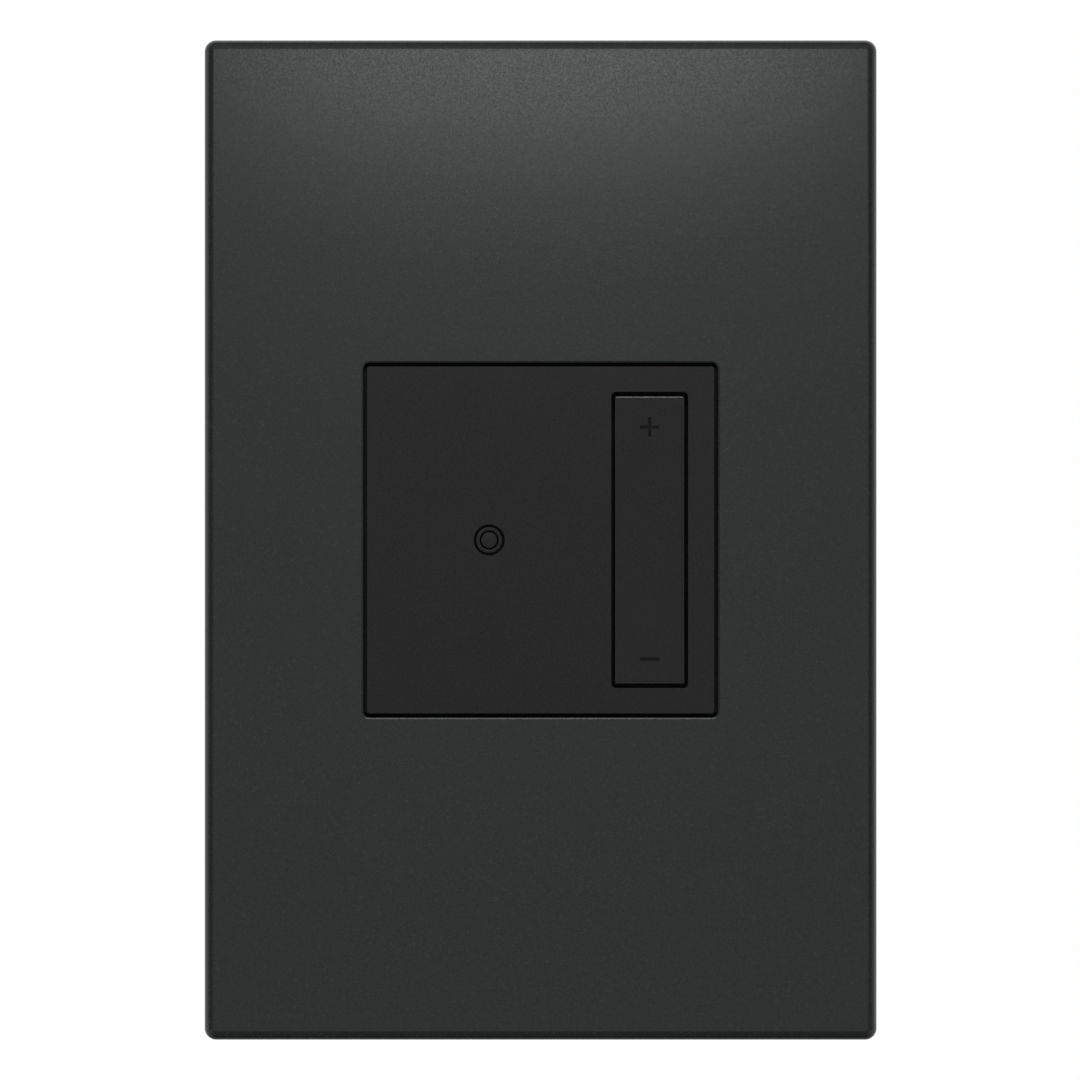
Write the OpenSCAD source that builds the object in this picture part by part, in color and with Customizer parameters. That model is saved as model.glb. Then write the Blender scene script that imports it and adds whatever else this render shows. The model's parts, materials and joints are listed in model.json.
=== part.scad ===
// Wall dimmer: a square tap plate with a raise and lower rocker beside it, held in a
// snap-on wall plate and a mounting frame over a single-gang box.
// X runs across, Z runs up and the front faces -Y. The wall plane is y = 0, and the
// origin is midway between the two box screws. All sizes are in millimetres.

/* [Wall plate] */
// Width of the wall plate
plate_w = 87.6; // [86:0.1:100]
// Height of the wall plate
plate_h = 130.3; // [129:0.1:140]
// How far the wall plate stands off the wall
plate_d = 9.1; // [9:0.1:9.5]
// Thickness of the plate's front
plate_front_t = 2.2; // [1.8:0.1:2.2]
// Thickness of the plate's side walls
plate_side_t = 2.0; // [1.4:0.1:2.0]
// Corner radius of the plate seen from the front
plate_corner_r = 1.5; // [1.4:0.1:3]
// Rounding of the plate's front edge
plate_edge_r = 1.3; // [0.6:0.1:1.3]

/* [Controls] */
// Width and height of the square opening in the plate
opening_w = 46.1; // [46:0.1:46.2]
// Width and height of the tap face
face_w = 45.2; // [45:0.1:45.4]
// Thickness of the tap face
face_t = 1.8; // [1.4:0.1:1.8]
// Rocker's place to the right of the middle
rocker_x = 14.2; // [13.8:0.1:14.4]
// Width of the rocker
rocker_w = 9.04; // [8.6:0.02:9.1]
// Height of the rocker
rocker_h = 37.4; // [37:0.1:37.7]
// Gap between the rocker's sides and its slot
rocker_gap = 0.45; // [0.35:0.05:0.5]
// Gap between the rocker's ends and its slot
rocker_end_gap = 0.55; // [0.4:0.05:0.6]
// How deep the rocker's face is dished
rocker_dish = 0.35; // [0.2:0.05:0.4]
// Width of the plus and minus strokes
mark_stroke = 0.4; // [0.3:0.05:0.5]
// Length of the plus and minus strokes
mark_len = 2.5; // [2:0.1:2.6]
// Locator light's place to the left of the middle
light_x = -6.7; // [-7:0.1:-6.5]

/* [Mounting] */
// Distance between the two box screws
box_screw_pitch = 83.34; // [83:0.02:84]
// Outside radius of a box screw's thread
box_screw_r = 1.75; // [1.7:0.05:1.8]
// Length of a box screw under its head
box_screw_len = 25.4; // [19:0.1:30]
// Width of the mounting frame
frame_w = 80; // [78:0.5:80]

/* [Device body] */
// Width of the rear housing
body_w = 44; // [44:0.1:44.4]
// Height of the rear housing
body_h = 64; // [64:0.1:65]
// Depth of the rear housing behind the wall plane
body_back = 33; // [33:0.5:36]
// Radius of a wire entry in the back
wire_entry_r = 1.3; // [1.1:0.05:1.35]

/* [Hidden] */
$fn = 48;

// A hair of overrun, so that cutters pass cleanly through what they cut
over = 0.1;
// Sides of the large circle that dishes the rocker
dish_fn = 1440;

// Depths of the front parts
front_y = -plate_d;
plate_back_y = front_y + plate_front_t;
collar_back_y = -5.6;
collar_t = 1.2;
face_back_y = front_y + face_t;
skirt_back_y = -4.6;
skirt_t = 1.2;
flange_front_y = -5.3;
flange_x = [22, 23.2];
deck_w = 46.4;
deck_h = 67;
deck_front_y = -3.0;
deck_back_y = -1.4;
carrier_back_y = 1.0;
carrier_wall_t = 1.4;

// Mounting frame
web_front_y = -2.2;
rib_front_y = -5.2;
rib_t = 1.6;
frame_h = 122;
frame_open_w = 47;
frame_open_h = 68;
screw_z = box_screw_pitch / 2;
screw_boss_r = 5.2;
screw_boss_y = -3.4;
screw_head_r = 3.45;
screw_head_y = -5.4;
screw_slot_r = 1.95;
screw_slot_half = 1.6;
screw_neck_r = 1.45;
screw_neck_end_y = 0.4;
hook_x = 25;
hook_w = 10;
tab_half_w = 8;
tab_end_z = 36.2;
tab_front_y = -3.8;
latch_half_w = 5;

// Tap face hinge
hinge_z = 19;
hinge_y = -5.2;
hinge_pin_r = 0.8;
hinge_knuckle_r = 1.4;
fit = 0.05;
knuckles_x = [[-16, -13], [-1, 2]];
hinge_ears_x = [[-19, -16.4], [2.4, 5]];

// Rocker, its slot and its pivot
slot_w = rocker_w + 2 * rocker_gap;
slot_h = rocker_h + 2 * rocker_end_gap;
slot_collar_t = 1;
rocker_back_y = front_y + 2.5;
pivot_y = -4.9;
pivot_r = 1.0;
hub_half_w = 2.0;
hub_r = 1.6;
pivot_ear_r = 1.4;
pivot_ears_x = [[-3.9, -2.3], [2.3, 3.9]];
mark_up_z = 14.7;
mark_down_z = -15.5;
mark_floor_y = front_y + 0.55;

// Feet and plungers
foot_r = 1.0;
foot_tip_y = -3.9;
foot_w = 3;
rocker_foot_z = 13;
tap_foot_z = -14;
plunger_r = 1.2;
plunger_top_y = foot_tip_y + 0.02;
plunger_end_y = 3.4;
plunger_collar_r = 1.95;
plunger_collar_y = [-0.4, 0.2];
guide_r = plunger_r + 0.07;
tap_at = [light_x, tap_foot_z];
raise_at = [rocker_x, rocker_foot_z];
lower_at = [rocker_x, -rocker_foot_z];

// Return springs
spring_wire_r = 0.17;
spring_r = 1.6;
spring_turns = 3.5;
spring_rings = 63;
spring_sides = 8;

// Indicator
ring_r = 1.68;
ring_bore_r = 1.23;
lens_r = 1.03;
light_hole_r = 2.01;
lens_end_y = 3.4;

// Boards and the stack that the housing screws clamp
switch_front_y = 2.6;
control_y = [5.6, 7.2];
power_y = [12.4, 14.0];
board_w = 39.6;
board_h = 59.6;
stack_x = 17;
stack_z = 27;
stack_bore_r = 1.5;
carrier_post_r = 2.9;
spacer_r = 2.6;
case_screw_r = 1.25;
case_screw_end_y = -0.6;
case_head_r = 2.6;

// Heat sink
sink_y = [1.0, 2.6];
sink_window_w = 38;
sink_window_h = 47;
sink_fin_x = [-20.3, -18.7];
sink_fin_z = [6, 22];
sink_fin_end_y = 30.4;
ground_tab_half_w = 5;
ground_tab_z = [-33.5, -32.2];
ground_tab_end_y = 14;
ground_at_y = 8.6;

// Rear housing and terminals
body_front_y = sink_y[1];
body_wall = 1.6;
body_back_t = 2.0;
body_inner_y = body_back - body_back_t;
boss_r = 3.6;
recess_y = body_back - 2.2;
bay_z = 12;
bay_half_h = 4.6;
bay_y0 = 19;
bay_in_x = 14.6;
bay_wall = 1.2;
clamp_half_h = 4.2;
plate_x = [15.0, 16.2];
clamp_x = [18.9, 20.1];
term_y = 24.6;
term_screw_r = 1.75;
term_head_r = 3.4;
term_head_x = 22.3;
wire_x = 17.55;
wire_dz = 3.2;
// Each terminal: which side it is on, and its height
terminals = [[1, bay_z], [1, -bay_z], [-1, -bay_z]];

// ---- Shared shapes ----

// A block between two corners
module block(x, y, z) {
    translate([x[0], y[0], z[0]])
        cube([x[1] - x[0], y[1] - y[0], z[1] - z[0]]);
}

// An outline in X and Z, made solid between two depths
module slab(y) {
    translate([0, y[1], 0])
        rotate([90, 0, 0])
            linear_extrude(y[1] - y[0])
                children();
}

// A rod along Y at a place in X and Z
module rod_y(r, y, at = [0, 0]) {
    translate([at[0], y[0], at[1]])
        rotate([-90, 0, 0])
            cylinder(r = r, h = y[1] - y[0]);
}

// A rod along X at a place in Y and Z
module rod_x(r, x, at) {
    translate([x[0], at[0], at[1]])
        rotate([0, 90, 0])
            cylinder(r = r, h = x[1] - x[0]);
}

// A rectangle with round corners, centred
module rounded(w, h, r) {
    square([w - 2 * r, h], center = true);
    square([w, h - 2 * r], center = true);
    for (sx = [-1, 1], sz = [-1, 1])
        translate([sx * (w / 2 - r), sz * (h / 2 - r)])
            circle(r);
}

// A slot with round ends, along X
module slot(half_len, r) {
    square([2 * half_len, 2 * r], center = true);
    for (sx = [-1, 1])
        translate([sx * half_len, 0])
            circle(r);
}

// The section across the plate: square at the wall and round at the front edges
module edge_section(w) {
    translate([-w / 2, front_y + plate_edge_r])
        square([w, -front_y - plate_edge_r]);
    translate([-w / 2 + plate_edge_r, front_y])
        square([w - 2 * plate_edge_r, plate_edge_r + over]);
    for (s = [-1, 1])
        translate([s * (w / 2 - plate_edge_r), front_y + plate_edge_r])
            circle(plate_edge_r);
}

// Copies what follows at the four stack positions
module at_stack() {
    for (sx = [-1, 1], sz = [-1, 1])
        translate([sx * stack_x, 0, sz * stack_z])
            children();
}

// Places what is drawn for a right-hand terminal at each terminal
module at_terminals() {
    for (t = terminals)
        translate([0, 0, t[1]])
            mirror([t[0] < 0 ? 1 : 0, 0, 0])
                children();
}

// A cross recess in a screw head, centred on the head
module cross_recess(len, wide, deep) {
    cube([len, deep, wide], center = true);
    cube([wide, deep, len], center = true);
}

// ---- Wall plate and mounting frame ----

module plate_hook(sx, sz) {
    block([sx * hook_x - hook_w / 2, sx * hook_x + hook_w / 2], [plate_back_y - over, -1.0],
          sz > 0 ? [61.3, 62.5] : [-62.5, -61.3]);
    block([sx * hook_x - hook_w / 2, sx * hook_x + hook_w / 2], [-2.7, -1.2],
          sz > 0 ? [60.3, 61.3] : [-61.3, -60.3]);
}

module wall_plate() color("#35373a") {
    difference() {
        intersection() {
            slab([front_y, 0]) rounded(plate_w, plate_h, plate_corner_r);
            translate([0, 0, -plate_h / 2]) linear_extrude(plate_h) edge_section(plate_w);
            rotate([0, 90, 0])
                translate([0, 0, -plate_w / 2])
                    linear_extrude(plate_w)
                        edge_section(plate_h);
        }
        slab([plate_back_y, over])
            rounded(plate_w - 2 * plate_side_t, plate_h - 2 * plate_side_t, 0.8);
        slab([front_y - over, plate_back_y + over]) rounded(opening_w, opening_w, 0.75);
        // Pry slot in the lower edge
        block([-5, 5], [-2, over], [-plate_h / 2 - over, -plate_h / 2 + plate_side_t + over]);
    }
    difference() {
        slab([plate_back_y - over, collar_back_y])
            rounded(opening_w + 2 * collar_t, opening_w + 2 * collar_t, 1.6);
        slab([front_y - over, 0]) rounded(opening_w, opening_w, 0.75);
    }
    for (sx = [-1, 1], sz = [-1, 1])
        plate_hook(sx, sz);
}

module mounting_frame() color("#4a4c4e") {
    difference() {
        union() {
            slab([web_front_y, 0]) rounded(frame_w, frame_h, 3);
            // Outer rim
            difference() {
                slab([rib_front_y, web_front_y + over]) rounded(frame_w, frame_h, 3);
                slab([rib_front_y - over, web_front_y + 2 * over])
                    rounded(frame_w - 2 * rib_t, frame_h - 2 * rib_t, 1.6);
            }
            // Rim round the opening
            difference() {
                slab([rib_front_y, web_front_y + over])
                    rounded(frame_open_w + 2 * rib_t, frame_open_h + 2 * rib_t, 2);
                for (s = [-1, 1])
                    block([-tab_half_w - 1, tab_half_w + 1], [rib_front_y - over, web_front_y],
                          s > 0 ? [30, 40] : [-40, -30]);
            }
            // Ribs across the side rails
            for (sx = [-1, 1], z = [-45, -22, 0, 22, 45])
                block(sx > 0 ? [25, 39.5] : [-39.5, -25], [rib_front_y + 1, web_front_y + over],
                      [z - 0.7, z + 0.7]);
            for (s = [-1, 1]) {
                rod_y(screw_boss_r, [screw_boss_y, -over], [0, s * screw_z]);
                latch(s);
            }
        }
        slab([rib_front_y - over, over]) rounded(frame_open_w, frame_open_h, 1);
        for (s = [-1, 1])
            translate([0, 0, s * screw_z])
                slab([screw_boss_y - over, over])
                    slot(screw_slot_half, screw_slot_r);
        // Rebates behind the rim that the plate's hooks catch in
        for (sx = [-1, 1], sz = [-1, 1])
            block([sx * hook_x - hook_w / 2 - 0.5, sx * hook_x + hook_w / 2 + 0.5], [-3.1, over],
                  sz > 0 ? [59.9, 62] : [-62, -59.9]);
        // Side fixing slots and locating holes
        for (sx = [-1, 1], z = [-33, 33])
            translate([sx * 31.5, 0, z])
                slab([web_front_y - over, over])
                    slot(2.6, 2.0);
        for (sx = [-1, 1], z = [-52, 52])
            rod_y(2.4, [web_front_y - over, over], [sx * 14, z]);
        // Moulded pockets in the back face
        for (sx = [-1, 1], z = [-11, 11])
            block([sx * 31.7 - 5.2, sx * 31.7 + 5.2], [-1.0, over], [z - 8.4, z + 8.4]);
    }
}

// A finger that snaps over the carrier's tab
module latch(s) {
    block([-latch_half_w, latch_half_w], [rib_front_y, web_front_y + over],
          s > 0 ? [36.6, 37.8] : [-37.8, -36.6]);
    block([-latch_half_w, latch_half_w], [rib_front_y, tab_front_y - 0.05],
          s > 0 ? [35.4, 36.7] : [-36.7, -35.4]);
}

module box_screws() color("#b9bcc0")
    for (s = [-1, 1])
        translate([0, 0, s * screw_z])
            difference() {
                union() {
                    rod_y(screw_head_r, [screw_head_y, screw_boss_y]);
                    rod_y(screw_neck_r, [screw_boss_y - over, screw_neck_end_y + over]);
                    rod_y(box_screw_r, [screw_neck_end_y, screw_boss_y + box_screw_len]);
                }
                translate([0, screw_head_y, 0]) cube([5.2, 1.8, 1.1], center = true);
            }

// ---- Carrier and controls ----

module front_carrier() color("#2a2b2d") {
    difference() {
        union() {
            slab([deck_front_y, deck_back_y]) rounded(deck_w, deck_h, 2);
            difference() {
                slab([deck_back_y - over, carrier_back_y]) rounded(deck_w, deck_h, 2);
                slab([deck_back_y - 2 * over, carrier_back_y + over])
                    rounded(deck_w - 2 * carrier_wall_t, deck_h - 2 * carrier_wall_t, 1);
            }
            for (s = [-1, 1])
                block([-tab_half_w, tab_half_w], [tab_front_y, web_front_y],
                      s > 0 ? [31.5, tab_end_z] : [-tab_end_z, -31.5]);
            // Ears for the tap face's hinge pin
            for (x = hinge_ears_x) {
                rod_x(hinge_knuckle_r, x, [hinge_y, hinge_z]);
                block(x, [hinge_y, deck_front_y + over],
                      [hinge_z - hinge_knuckle_r, hinge_z + hinge_knuckle_r]);
            }
            // Ears for the rocker's pin
            for (x = pivot_ears_x)
                translate([rocker_x, 0, 0]) {
                    rod_x(pivot_ear_r, x, [pivot_y, 0]);
                    block(x, [pivot_y, deck_front_y + over], [-pivot_ear_r, pivot_ear_r]);
                }
            at_stack() rod_y(carrier_post_r, [deck_back_y - over, control_y[0]]);
        }
        for (at = [tap_at, raise_at, lower_at])
            rod_y(guide_r, [deck_front_y - over, deck_back_y + over], at);
        rod_y(lens_r + fit, [deck_front_y - over, deck_back_y + over], [light_x, 0]);
        rod_x(hinge_pin_r + 0.02, [-20, 6], [hinge_y, hinge_z]);
        rod_x(pivot_r + 0.02, [rocker_x - 4, rocker_x + 4], [pivot_y, 0]);
        at_stack() rod_y(case_screw_r + 0.02, [case_screw_end_y - 0.3, control_y[0] + over]);
    }
}

module tap_face() color("#26272a")
    difference() {
        union() {
            slab([front_y, face_back_y]) rounded(face_w, face_w, 0.3);
            // Skirt round the edge
            difference() {
                slab([face_back_y - over, skirt_back_y]) rounded(face_w, face_w, 0.3);
                slab([front_y, skirt_back_y + over])
                    rounded(face_w - 2 * skirt_t, face_w - 2 * skirt_t, 0.3);
            }
            // Flanges behind the plate's collar, that close the side gaps to light and dust
            for (s = [-1, 1])
                block(s > 0 ? flange_x : [-flange_x[1], -flange_x[0]],
                      [flange_front_y, skirt_back_y], [-face_w / 2, face_w / 2]);
            // Collar round the rocker's slot
            translate([rocker_x, 0, 0])
                slab([face_back_y - over, -5.8])
                    rounded(slot_w + 2 * slot_collar_t, slot_h + 2 * slot_collar_t, 1);
            // Hinge knuckles
            for (x = knuckles_x) {
                rod_x(hinge_knuckle_r, x, [hinge_y, hinge_z]);
                block(x, [face_back_y - over, hinge_y],
                      [hinge_z - hinge_knuckle_r, hinge_z + hinge_knuckle_r]);
            }
            // Stiffening ribs
            for (z = [-18, -7, 7])
                block([-21.6, 7.6], [face_back_y - over, -6.1], [z - 0.5, z + 0.5]);
            for (x = [-14.5, 1])
                block([x - 0.5, x + 0.5], [face_back_y - over, -6.1], [-21.6, 16]);
            foot([light_x, tap_foot_z], face_back_y);
        }
        translate([rocker_x, 0, 0])
            slab([front_y - over, -5])
                rounded(slot_w, slot_h, 0.55);
        rod_y(light_hole_r, [front_y - over, face_back_y + over], [light_x, 0]);
        for (x = knuckles_x)
            rod_x(hinge_pin_r + fit, [x[0] - over, x[1] + over], [hinge_y, hinge_z]);
    }

// A foot that presses a plunger, with a round tip
module foot(at, from_y) {
    block([at[0] - foot_w / 2, at[0] + foot_w / 2], [from_y - over, foot_tip_y - foot_r],
          [at[1] - foot_r, at[1] + foot_r]);
    rod_x(foot_r, [at[0] - foot_w / 2, at[0] + foot_w / 2], [foot_tip_y - foot_r, at[1]]);
}

module tap_hinge_pin() color("#c4c7ca")
    rod_x(hinge_pin_r, [hinge_ears_x[0][0], hinge_ears_x[1][1]], [hinge_y, hinge_z]);

module dimmer_rocker() color("#26272a") {
    dish_half = rocker_h / 2 - 0.3;
    dish_r = (dish_half * dish_half + rocker_dish * rocker_dish) / (2 * rocker_dish);
    difference() {
        union() {
            translate([rocker_x, 0, 0])
                slab([front_y, rocker_back_y]) rounded(rocker_w, rocker_h, 0.2);
            rod_x(hub_r, [rocker_x - hub_half_w, rocker_x + hub_half_w], [pivot_y, 0]);
            block([rocker_x - hub_half_w, rocker_x + hub_half_w],
                  [rocker_back_y - over, pivot_y], [-hub_r, hub_r]);
            for (s = [-1, 1])
                foot([rocker_x, s * rocker_foot_z], rocker_back_y);
        }
        rod_x(dish_r, [rocker_x - rocker_w, rocker_x + rocker_w],
              [front_y + rocker_dish - dish_r, 0], $fn = dish_fn);
        rod_x(pivot_r + fit, [rocker_x - 3, rocker_x + 3], [pivot_y, 0]);
        // Plus and minus marks
        mark(mark_len, mark_stroke, mark_up_z);
        mark(mark_stroke, mark_len, mark_up_z);
        mark(mark_len, mark_stroke, mark_down_z);
    }
}

// One cut stroke of a mark on the rocker
module mark(w, h, z)
    block([rocker_x - w / 2, rocker_x + w / 2], [front_y - over, mark_floor_y],
          [z - h / 2, z + h / 2]);

module rocker_pin() color("#c4c7ca")
    rod_x(pivot_r, [rocker_x + pivot_ears_x[0][0], rocker_x + pivot_ears_x[1][1]], [pivot_y, 0]);

module indicator_ring() color("#2a2b2d")
    difference() {
        union() {
            rod_y(ring_r, [front_y, deck_front_y], [light_x, 0]);
            rod_y(2.8, [deck_front_y - 1, deck_front_y], [light_x, 0]);
        }
        rod_y(ring_bore_r, [front_y - over, deck_front_y + over], [light_x, 0]);
    }

module indicator_lens() color("#3a3c3e")
    rod_y(lens_r, [front_y, lens_end_y], [light_x, 0]);

// ---- Plungers, springs and switches ----

module plunger(at) {
    rod_y(plunger_r, [plunger_top_y, plunger_end_y], at);
    rod_y(plunger_collar_r, plunger_collar_y, at);
}

module tap_plunger() color("#e6e4dc") plunger(tap_at);

module raise_plunger() color("#e6e4dc") plunger(raise_at);

module lower_plunger() color("#e6e4dc") plunger(lower_at);

// A point on the wire's surface: ring i along the coil, side j round the wire
function spring_point(i, j, y0, pitch) =
    let (turn = 360 * spring_turns * i / (spring_rings - 1),
         around = 360 * j / spring_sides,
         r = spring_r + spring_wire_r * cos(around))
    [r * cos(turn), y0 + pitch * turn / 360 + spring_wire_r * sin(around), r * sin(turn)];

module coil_spring(y0, y1, at) {
    pitch = (y1 - y0 - 2 * spring_wire_r) / spring_turns;
    start = y0 + spring_wire_r;
    points = [for (i = [0 : spring_rings - 1], j = [0 : spring_sides - 1])
        spring_point(i, j, start, pitch)];
    sides = [for (i = [0 : spring_rings - 2], j = [0 : spring_sides - 1])
        let (k = (j + 1) % spring_sides,
             a = i * spring_sides + j,
             b = i * spring_sides + k)
        each [[a, b, b + spring_sides], [a, b + spring_sides, a + spring_sides]]];
    last = (spring_rings - 1) * spring_sides;
    caps = [for (j = [1 : spring_sides - 2])
        each [[0, j + 1, j], [last, last + j, last + j + 1]]];
    translate([at[0], 0, at[1]])
        polyhedron(points = points, faces = concat(sides, caps));
}

module tap_spring() color("#9ea2a6") coil_spring(plunger_collar_y[1], switch_front_y, tap_at);

module raise_spring() color("#9ea2a6") coil_spring(plunger_collar_y[1], switch_front_y, raise_at);

module lower_spring() color("#9ea2a6") coil_spring(plunger_collar_y[1], switch_front_y, lower_at);

module switch_case(at)
    difference() {
        block([at[0] - 3, at[0] + 3], [switch_front_y, control_y[0]], [at[1] - 3, at[1] + 3]);
        rod_y(plunger_r + fit, [switch_front_y - over, plunger_end_y + 1.2], at);
    }

module tap_switch() color("#1b1c1e") switch_case(tap_at);

module raise_switch() color("#1b1c1e") switch_case(raise_at);

module lower_switch() color("#1b1c1e") switch_case(lower_at);

// ---- Boards and what they carry ----

module board(y)
    difference() {
        slab(y) rounded(board_w, board_h, 1);
        at_stack() rod_y(stack_bore_r, [y[0] - over, y[1] + over]);
        // Notch for the heat sink's fin
        block([-board_w / 2 - 1, sink_fin_x[1] + 0.4], [y[0] - over, y[1] + over],
              [sink_fin_z[0] - 0.5, sink_fin_z[1] + 0.5]);
    }

module control_board() color("#1f5a3c") board(control_y);

module power_board() color("#1f5a3c") board(power_y);

module indicator_led() color("#f2f4f0") {
    block([light_x - 1.6, light_x + 1.6], [4.4, control_y[0]], [-1.4, 1.4]);
    rod_y(1.0, [3.8, 4.5], [light_x, 0]);
}

module microcontroller() color("#202224")
    block([-4.5, 4.5], [control_y[1], control_y[1] + 1.4], [-12.5, -3.5]);

module board_connector() color("#2b2d30")
    block([-10, 10], [control_y[1], power_y[0]], [20.7, 23.3]);

module board_spacers() color("#e6e4dc")
    at_stack()
        difference() {
            rod_y(spacer_r, [control_y[1], power_y[0]]);
            rod_y(stack_bore_r, [control_y[1] - over, power_y[0] + over]);
        }

// The ring choke: its core lies flat on the power board
choke_at = [-3, 16];
choke_y = [15.4, 23.4];
choke_core_r = [5, 9];
choke_wire_t = 1.0;
choke_slack = 0.03;

module choke_ring(r, y, sweep)
    translate([choke_at[0], y[0], choke_at[1]])
        rotate([-90, 0, 0])
            rotate_extrude(angle = sweep)
                translate([r[0], 0])
                    square([r[1] - r[0], y[1] - y[0]]);

module choke_core() color("#6b6f52") choke_ring(choke_core_r, choke_y, 360);

module choke_winding() color("#b06a2c")
    difference() {
        choke_ring([choke_core_r[0] - choke_wire_t, choke_core_r[1] + choke_wire_t],
                   [choke_y[0] - choke_wire_t, choke_y[1] + choke_wire_t], 330);
        choke_ring([choke_core_r[0] - choke_slack, choke_core_r[1] + choke_slack],
                   [choke_y[0] - choke_slack, choke_y[1] + choke_slack], 360);
    }

module filter_capacitor() color("#c8a81f")
    block([-11, -4], [power_y[1], 26], [-8.5, 4.5]);

module supply_capacitor() color("#24446e")
    rod_y(4, [power_y[1], 28], [6, -2]);

module fuse() color("#d8d4c6")
    translate([-3, power_y[1] + 2.6, -28])
        cylinder(r = 2.6, h = 13);

module surge_varistor() color("#2f5fa8")
    rod_x(5.5, [3, 6.6], [power_y[1] + 5.5, -20]);

// ---- Heat sink and triac ----

triac_z = 14;
triac_y = [15.2, 24.4];
triac_tab_y = 30.2;
triac_hole_y = 27.6;
triac_x = -18.5;

module heat_sink() color("#b4b8bb") {
    difference() {
        slab(sink_y) rounded(46, 67, 2);
        slab([sink_y[0] - over, sink_y[1] + over]) rounded(sink_window_w, sink_window_h, 1);
        at_stack() rod_y(carrier_post_r + 0.1, [sink_y[0] - over, sink_y[1] + over]);
    }
    difference() {
        block(sink_fin_x, [sink_y[0], sink_fin_end_y], sink_fin_z);
        rod_x(1.5, [sink_fin_x[0] - over, sink_fin_x[1] + over], [triac_hole_y, triac_z]);
    }
    difference() {
        block([-ground_tab_half_w, ground_tab_half_w], [sink_y[0], ground_tab_end_y], ground_tab_z);
        translate([0, ground_at_y, ground_tab_z[0] - over])
            cylinder(r = term_screw_r, h = 2);
    }
}

module triac_insulator() color("#e9c46a")
    difference() {
        block([sink_fin_x[1], triac_x], [triac_y[0] - 0.6, sink_fin_end_y - 0.1],
              [triac_z - 6, triac_z + 6]);
        rod_x(1.7, [sink_fin_x[1] - over, triac_x + over], [triac_hole_y, triac_z]);
    }

module triac() color("#1d1e20")
    difference() {
        union() {
            block([triac_x, triac_x + 4.4], triac_y, [triac_z - 5, triac_z + 5]);
            block([triac_x, triac_x + 1.3], [triac_y[1] - over, triac_tab_y], [triac_z - 5, triac_z + 5]);
            for (dz = [-2.54, 0, 2.54])
                block([triac_x + 2.2, triac_x + 2.9], [power_y[1], triac_y[0] + over],
                      [triac_z + dz - 0.45, triac_z + dz + 0.45]);
        }
        rod_x(1.7, [triac_x - over, triac_x + 1.3 + over], [triac_hole_y, triac_z]);
    }

module triac_screw() color("#b9bcc0") {
    rod_x(1.5, [sink_fin_x[0], triac_x + 1.4], [triac_hole_y, triac_z]);
    rod_x(2.4, [triac_x + 1.3, triac_x + 3.1], [triac_hole_y, triac_z]);
}

// ---- Rear housing, screws and terminals ----

module rear_housing() color("#232426")
    difference() {
        union() {
            difference() {
                slab([body_front_y, body_back]) rounded(body_w, body_h, 2);
                slab([body_front_y - over, body_inner_y])
                    rounded(body_w - 2 * body_wall, body_h - 2 * body_wall, 1);
            }
            at_stack() rod_y(boss_r, [power_y[1], body_inner_y + over]);
            // Walls round each terminal bay
            at_terminals()
                block([bay_in_x - bay_wall, body_w / 2 - over], [bay_y0 - bay_wall, body_inner_y + over],
                      [-bay_half_h - bay_wall, bay_half_h + bay_wall]);
            // Ribs across the back
            for (z = [-20, 20])
                block([-12, 12], [body_back - over, body_back + 0.8], [z - 0.6, z + 0.6]);
        }
        at_stack() {
            rod_y(stack_bore_r, [power_y[1] - over, body_back + over]);
            rod_y(case_head_r + 0.3, [recess_y, body_back + over]);
        }
        at_terminals() {
            block([bay_in_x, body_w / 2 + over], [bay_y0, body_inner_y], [-bay_half_h, bay_half_h]);
            rod_y(wire_entry_r, [body_inner_y - over, body_back + over], [wire_x, wire_dz]);
            // Slit that the terminal plate's tail passes through
            block([bay_in_x - bay_wall - over, bay_in_x + over],
                  [bay_y0 + 0.4, bay_y0 + 1.8], [-1.8, 1.8]);
        }
        // Notch over the ground tab's root
        block([-ground_tab_half_w - 0.5, ground_tab_half_w + 0.5],
              [body_front_y - over, ground_tab_end_y + 0.5],
              [-body_h / 2 - over, ground_tab_z[1] + 0.4]);
    }

module housing_screws() color("#b9bcc0")
    at_stack()
        difference() {
            union() {
                rod_y(case_screw_r, [case_screw_end_y, recess_y + over]);
                rod_y(case_head_r, [recess_y, recess_y + 1.7]);
            }
            translate([0, recess_y + 1.7, 0]) cross_recess(2.8, 0.8, 1.8);
        }

module terminal_plates() color("#c9a04a")
    at_terminals()
        difference() {
            union() {
                block(plate_x, [bay_y0 + 0.5, 29.4], [-clamp_half_h, clamp_half_h]);
                block([8, plate_x[1]], [bay_y0 + 0.5, bay_y0 + 1.7], [-1.5, 1.5]);
                block([8, 9.2], [power_y[1], bay_y0 + 1.7], [-1.5, 1.5]);
            }
            rod_x(term_screw_r + 0.02, [plate_x[0] - over, plate_x[1] + over], [term_y, 0]);
        }

module terminal_clamps() color("#b9bcc0")
    at_terminals()
        difference() {
            block(clamp_x, [term_y - 4.4, term_y + 4.4], [-clamp_half_h, clamp_half_h]);
            rod_x(term_screw_r + 0.1, [clamp_x[0] - over, clamp_x[1] + over], [term_y, 0]);
        }

module terminal_screws() color("#c9a04a")
    at_terminals()
        difference() {
            union() {
                rod_x(term_screw_r, [plate_x[0], clamp_x[1] + over], [term_y, 0]);
                rod_x(term_head_r, [clamp_x[1], term_head_x], [term_y, 0]);
            }
            translate([term_head_x, term_y, 0]) cube([1.8, 5.6, 0.9], center = true);
        }

module ground_screw() color("#2e8b4a")
    translate([0, ground_at_y, 0])
        difference() {
            union() {
                translate([0, 0, ground_tab_z[0] - 1.9]) cylinder(r = term_head_r, h = 1.9);
                translate([0, 0, ground_tab_z[0] - over])
                    cylinder(r = term_screw_r - 0.02, h = ground_tab_z[1] - ground_tab_z[0] + over);
            }
            translate([0, 0, ground_tab_z[0] - 1.9]) cube([5.6, 0.9, 1.8], center = true);
        }

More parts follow.
